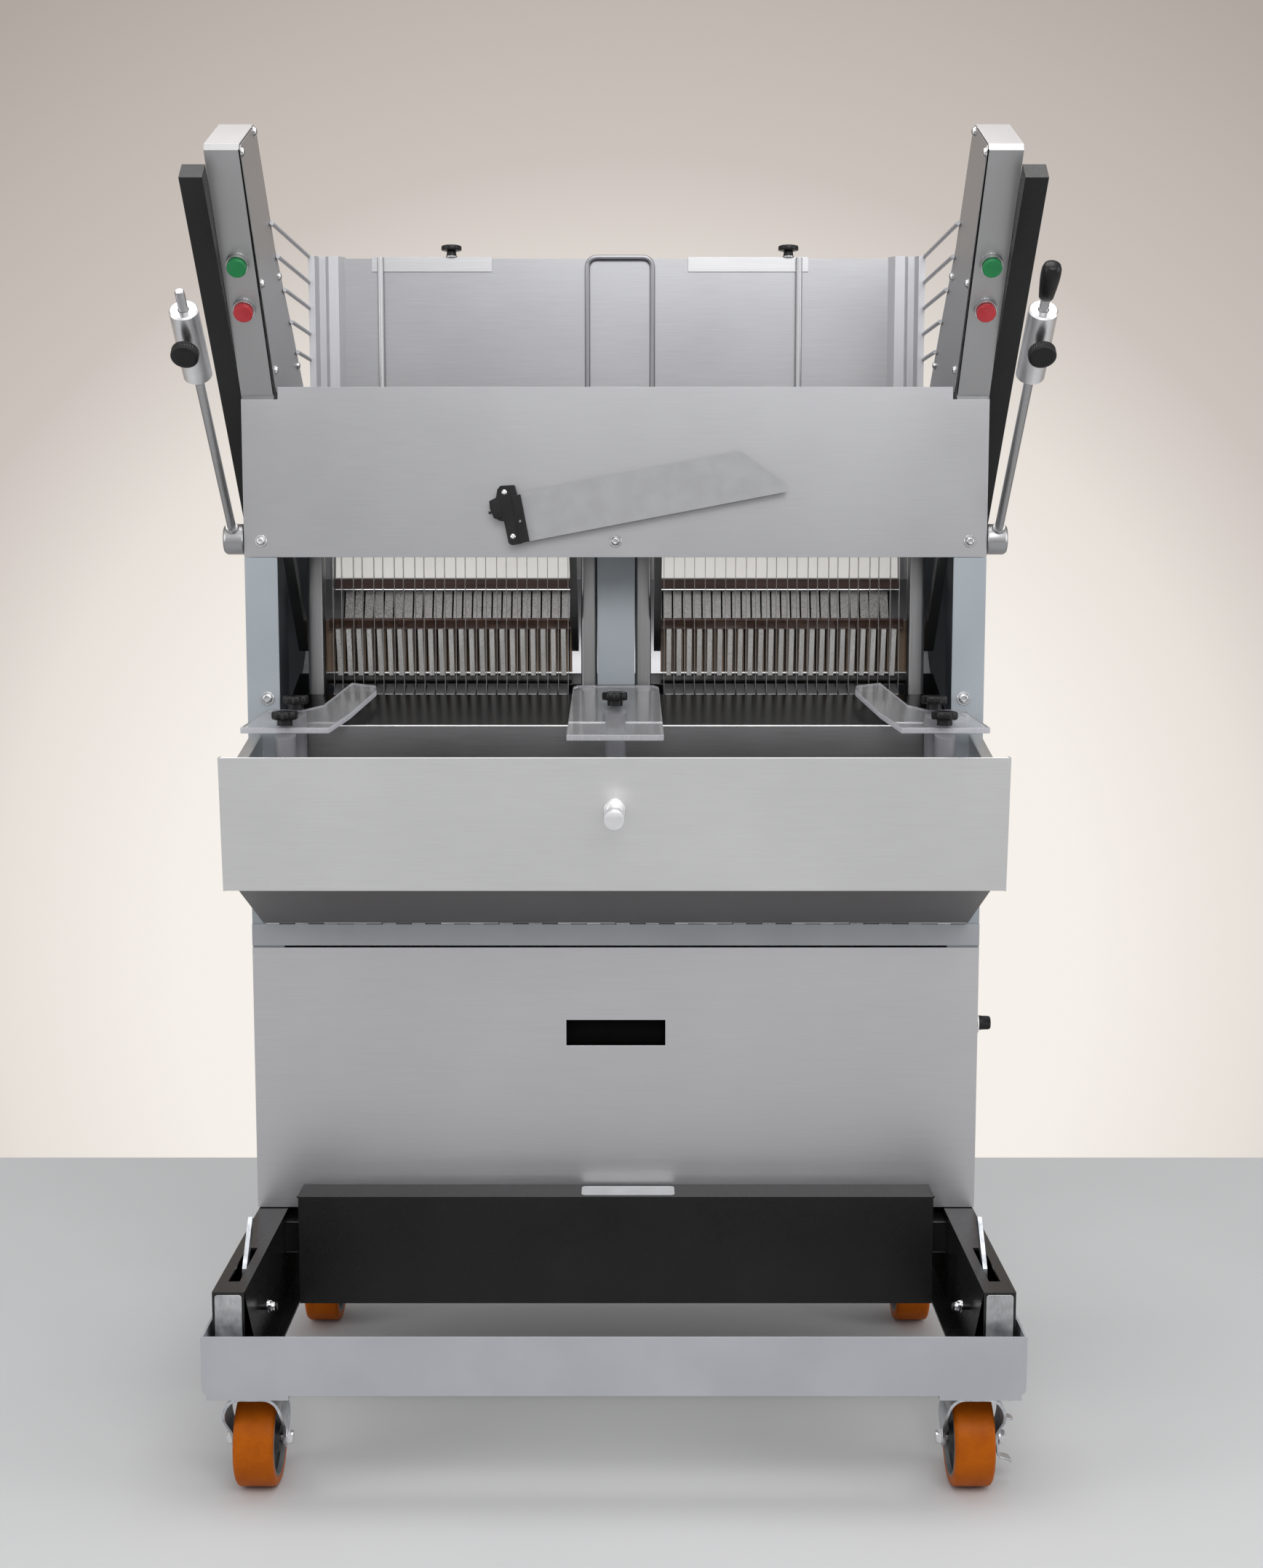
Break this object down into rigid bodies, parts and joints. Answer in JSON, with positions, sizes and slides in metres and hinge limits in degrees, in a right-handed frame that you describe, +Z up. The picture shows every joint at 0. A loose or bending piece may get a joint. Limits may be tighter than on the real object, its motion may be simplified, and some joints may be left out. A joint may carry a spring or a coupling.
{
  "type": "bread slicer",
  "caption": "Floor-standing frame bread slicer on casters with two slicing bays, leaning hood arms, weighted swing levers, combs, reciprocating blade frames and a tilting crumb tray.",
  "frame": {"origin": "middle of the footprint, on the floor under the wheels", "axes": "+X to the right as seen from the front, +Y to the back, +Z up"},
  "size_m": [1.109, 0.74, 1.7872],
  "materials": {
    "stainless": "brushed stainless sheet",
    "dark_stainless": "polished stainless sheet that mirrors the dark inside",
    "blue_grey_paint": "pale blue-grey powder coat",
    "rail_paint": "silver-grey powder coat",
    "black_paint": "semi-gloss black powder coat",
    "zinc": "zinc plated steel",
    "aluminium": "turned aluminium",
    "blade_steel": "ground blade steel",
    "board_brown": "brown board",
    "chrome": "polished",
    "black_plastic": "moulded black",
    "clear_plastic": "clear acrylic with frosted edges",
    "tyre_orange": "orange cast tyre",
    "button_green": "green push button",
    "button_red": "red push button",
    "motor_grey": "painted casting"
  },
  "bodies": {
    "machine": {"wheel_frame": "rail_paint", "base_frame": "black_paint", "side_frame_left": "blue_grey_paint", "side_frame_right": "blue_grey_paint", "hood_casing": "stainless", "arm_cover_left": "stainless", "arm_cover_right": "stainless", "stay_frame": "black_paint", "hopper_back": "stainless", "table": "dark_stainless", "hinge_rail": "blue_grey_paint", "lower_front_panel": "stainless", "rear_panel": "blue_grey_paint", "centre_column": "blue_grey_paint", "clear_guard_left": "clear_plastic", "clear_guard_right": "clear_plastic", "clear_guard_centre": "clear_plastic", "motor": "motor_grey", "caster_fork_rear_left": "zinc", "caster_fork_rear_right": "zinc"},
    "lever_shaft": {"lever_left": "aluminium", "lever_right": "aluminium", "lever_knob": "black_plastic", "comb_left": "board_brown", "comb_right": "board_brown"},
    "weight_left": {"weight_left": "aluminium"},
    "weight_right": {"weight_right": "aluminium"},
    "weight_screw_left": {"weight_screw_left": "black_plastic"},
    "weight_screw_right": {"weight_screw_right": "black_plastic"},
    "front_frame": {"front_blade_frame": "stainless", "front_blades": "blade_steel"},
    "rear_frame": {"rear_blade_frame": "stainless", "rear_blades": "blade_steel"},
    "crankshaft": {"crankshaft": "zinc"},
    "tray": {"tray": "stainless"},
    "tray_knob": {"tray_knob": "chrome"},
    "flap": {"flap": "clear_plastic"},
    "guard_knob_centre": {"guard_knob_centre": "black_plastic"},
    "guard_knob_front_left": {"guard_knob_front_left": "black_plastic"},
    "guard_knob_front_right": {"guard_knob_front_right": "black_plastic"},
    "guard_knob_back_left": {"guard_knob_back_left": "black_plastic"},
    "guard_knob_back_right": {"guard_knob_back_right": "black_plastic"},
    "loaf_guide_left": {"loaf_guide_left": "zinc"},
    "loaf_guide_right": {"loaf_guide_right": "zinc"},
    "guide_knob_left": {"guide_knob_left": "black_plastic"},
    "guide_knob_right": {"guide_knob_right": "black_plastic"},
    "green_button_left": {"green_button_left": "button_green"},
    "green_button_right": {"green_button_right": "button_green"},
    "red_button_left": {"red_button_left": "button_red"},
    "red_button_right": {"red_button_right": "button_red"},
    "caster_front_left": {"caster_fork_front_left": "zinc"},
    "caster_front_right": {"caster_fork_front_right": "zinc"},
    "wheel_front_left": {"wheel_front_left": "tyre_orange"},
    "wheel_front_right": {"wheel_front_right": "tyre_orange"},
    "wheel_rear_left": {"wheel_rear_left": "tyre_orange"},
    "wheel_rear_right": {"wheel_rear_right": "tyre_orange"},
    "brake_pedal": {"brake_pedal": "zinc"},
    "foot_lever_left": {"foot_lever_left": "zinc"},
    "foot_lever_right": {"foot_lever_right": "zinc"},
    "switch_knob": {"switch_knob": "black_plastic"}
  },
  "joints": [
    {"name": "lever_swing", "type": "hinge", "parent": "machine", "child": "lever_shaft", "pos_m": [0, 0.0144, 1.246], "axis": [1, 0, 0], "range_deg": [0, 60]},
    {"name": "weight_left_slide", "type": "slide", "parent": "lever_shaft", "child": "weight_left", "axis": [0, -0.7234, 0.6904], "range_m": [-0.22, 0]},
    {"name": "weight_right_slide", "type": "slide", "parent": "lever_shaft", "child": "weight_right", "axis": [0, -0.7234, 0.6904], "range_m": [-0.22, 0]},
    {"name": "weight_screw_left_turn", "type": "hinge", "parent": "weight_left", "child": "weight_screw_left", "pos_m": [-0.536, -0.25327, 1.50145], "axis": [0, -0.6904, -0.7234], "continuous": true},
    {"name": "weight_screw_right_turn", "type": "hinge", "parent": "weight_right", "child": "weight_screw_right", "pos_m": [0.536, -0.25327, 1.50145], "axis": [0, -0.6904, -0.7234], "continuous": true},
    {"name": "front_frame_stroke", "type": "slide", "parent": "machine", "child": "front_frame", "axis": [0, 0, 1], "range_m": [-0.012, 0.012]},
    {"name": "rear_frame_stroke", "type": "slide", "parent": "machine", "child": "rear_frame", "axis": [0, 0, 1], "range_m": [-0.012, 0.012]},
    {"name": "crank_turn", "type": "hinge", "parent": "machine", "child": "crankshaft", "pos_m": [0, 0.12225, 0.52], "axis": [1, 0, 0], "continuous": true},
    {"name": "tray_tilt", "type": "hinge", "parent": "machine", "child": "tray", "pos_m": [0, -0.0038, 0.7035], "axis": [1, 0, 0], "range_deg": [0, 80]},
    {"name": "tray_knob_turn", "type": "hinge", "parent": "tray", "child": "tray_knob", "pos_m": [0, -0.19559, 0.89], "axis": [0, -0.9953, -0.0968], "continuous": true},
    {"name": "flap_swing", "type": "hinge", "parent": "machine", "child": "flap", "pos_m": [-0.1405, -0.015, 1.2735], "axis": [0.1874, 0, -0.9823], "range_deg": [0, 90]},
    {"name": "guard_knob_centre_turn", "type": "hinge", "parent": "machine", "child": "guard_knob_centre", "pos_m": [0, 0.0015, 1.01232], "axis": [0, 0, 1], "continuous": true},
    {"name": "guard_knob_front_left_turn", "type": "hinge", "parent": "machine", "child": "guard_knob_front_left", "pos_m": [-0.4565, -0.0607, 0.98993], "axis": [0, 0, 1], "continuous": true},
    {"name": "guard_knob_front_right_turn", "type": "hinge", "parent": "machine", "child": "guard_knob_front_right", "pos_m": [0.4565, -0.0607, 0.98993], "axis": [0, 0, 1], "continuous": true},
    {"name": "guard_knob_back_left_turn", "type": "hinge", "parent": "machine", "child": "guard_knob_back_left", "pos_m": [-0.4495, -0.0085, 1.008], "axis": [0, 0, 1], "continuous": true},
    {"name": "guard_knob_back_right_turn", "type": "hinge", "parent": "machine", "child": "guard_knob_back_right", "pos_m": [0.4495, -0.0085, 1.008], "axis": [0, 0, 1], "continuous": true},
    {"name": "loaf_guide_left_slide", "type": "slide", "parent": "machine", "child": "loaf_guide_left", "axis": [1, 0, 0], "range_m": [-0.03, 0.125]},
    {"name": "loaf_guide_right_slide", "type": "slide", "parent": "machine", "child": "loaf_guide_right", "axis": [1, 0, 0], "range_m": [-0.045, 0.11]},
    {"name": "guide_knob_left_turn", "type": "hinge", "parent": "loaf_guide_left", "child": "guide_knob_left", "pos_m": [-0.253, 0.319, 1.678], "axis": [0, 0, 1], "continuous": true},
    {"name": "guide_knob_right_turn", "type": "hinge", "parent": "loaf_guide_right", "child": "guide_knob_right", "pos_m": [0.2625, 0.319, 1.678], "axis": [0, 0, 1], "continuous": true},
    {"name": "green_button_left_press", "type": "slide", "parent": "machine", "child": "green_button_left", "axis": [0, 0.7984, 0.6021], "range_m": [0, 0.005], "stiffness_N_per_m": 300, "springref_m": -0.002},
    {"name": "green_button_right_press", "type": "slide", "parent": "machine", "child": "green_button_right", "axis": [0, 0.7984, 0.6021], "range_m": [0, 0.005], "stiffness_N_per_m": 300, "springref_m": -0.002},
    {"name": "red_button_left_press", "type": "slide", "parent": "machine", "child": "red_button_left", "axis": [0, 0.7984, 0.6021], "range_m": [0, 0.005], "stiffness_N_per_m": 300, "springref_m": -0.002},
    {"name": "red_button_right_press", "type": "slide", "parent": "machine", "child": "red_button_right", "axis": [0, 0.7984, 0.6021], "range_m": [0, 0.005], "stiffness_N_per_m": 300, "springref_m": -0.002},
    {"name": "caster_front_left_swivel", "type": "hinge", "parent": "machine", "child": "caster_front_left", "pos_m": [-0.4695, -0.3175, 0.1417], "axis": [0, 0, 1], "continuous": true},
    {"name": "caster_front_right_swivel", "type": "hinge", "parent": "machine", "child": "caster_front_right", "pos_m": [0.4695, -0.3175, 0.1417], "axis": [0, 0, 1], "continuous": true},
    {"name": "wheel_front_left_spin", "type": "hinge", "parent": "caster_front_left", "child": "wheel_front_left", "pos_m": [-0.4695, -0.285, 0.0625], "axis": [1, 0, 0], "continuous": true},
    {"name": "wheel_front_right_spin", "type": "hinge", "parent": "caster_front_right", "child": "wheel_front_right", "pos_m": [0.4695, -0.285, 0.0625], "axis": [1, 0, 0], "continuous": true},
    {"name": "wheel_rear_left_spin", "type": "hinge", "parent": "machine", "child": "wheel_rear_left", "pos_m": [-0.4695, 0.3, 0.0625], "axis": [1, 0, 0], "continuous": true},
    {"name": "wheel_rear_right_spin", "type": "hinge", "parent": "machine", "child": "wheel_rear_right", "pos_m": [0.4695, 0.3, 0.0625], "axis": [1, 0, 0], "continuous": true},
    {"name": "brake_pedal_rock", "type": "hinge", "parent": "caster_front_right", "child": "brake_pedal", "pos_m": [0.5083, -0.285, 0.0625], "axis": [1, 0, 0], "range_deg": [-12, 12]},
    {"name": "foot_lever_left_swing", "type": "hinge", "parent": "machine", "child": "foot_lever_left", "pos_m": [-0.497, -0.234, 0.2225], "axis": [1, 0, 0], "range_deg": [-8, 50]},
    {"name": "foot_lever_right_swing", "type": "hinge", "parent": "machine", "child": "foot_lever_right", "pos_m": [0.497, -0.234, 0.2225], "axis": [1, 0, 0], "range_deg": [-8, 50]},
    {"name": "switch_knob_turn", "type": "hinge", "parent": "machine", "child": "switch_knob", "pos_m": [0.5203, 0.012, 0.553], "axis": [1, 0, 0], "range_deg": [0, 90]}
  ],
  "couplings": [
    {"joint": "rear_frame_stroke", "follows": "front_frame_stroke", "ratio": -1}
  ]
}
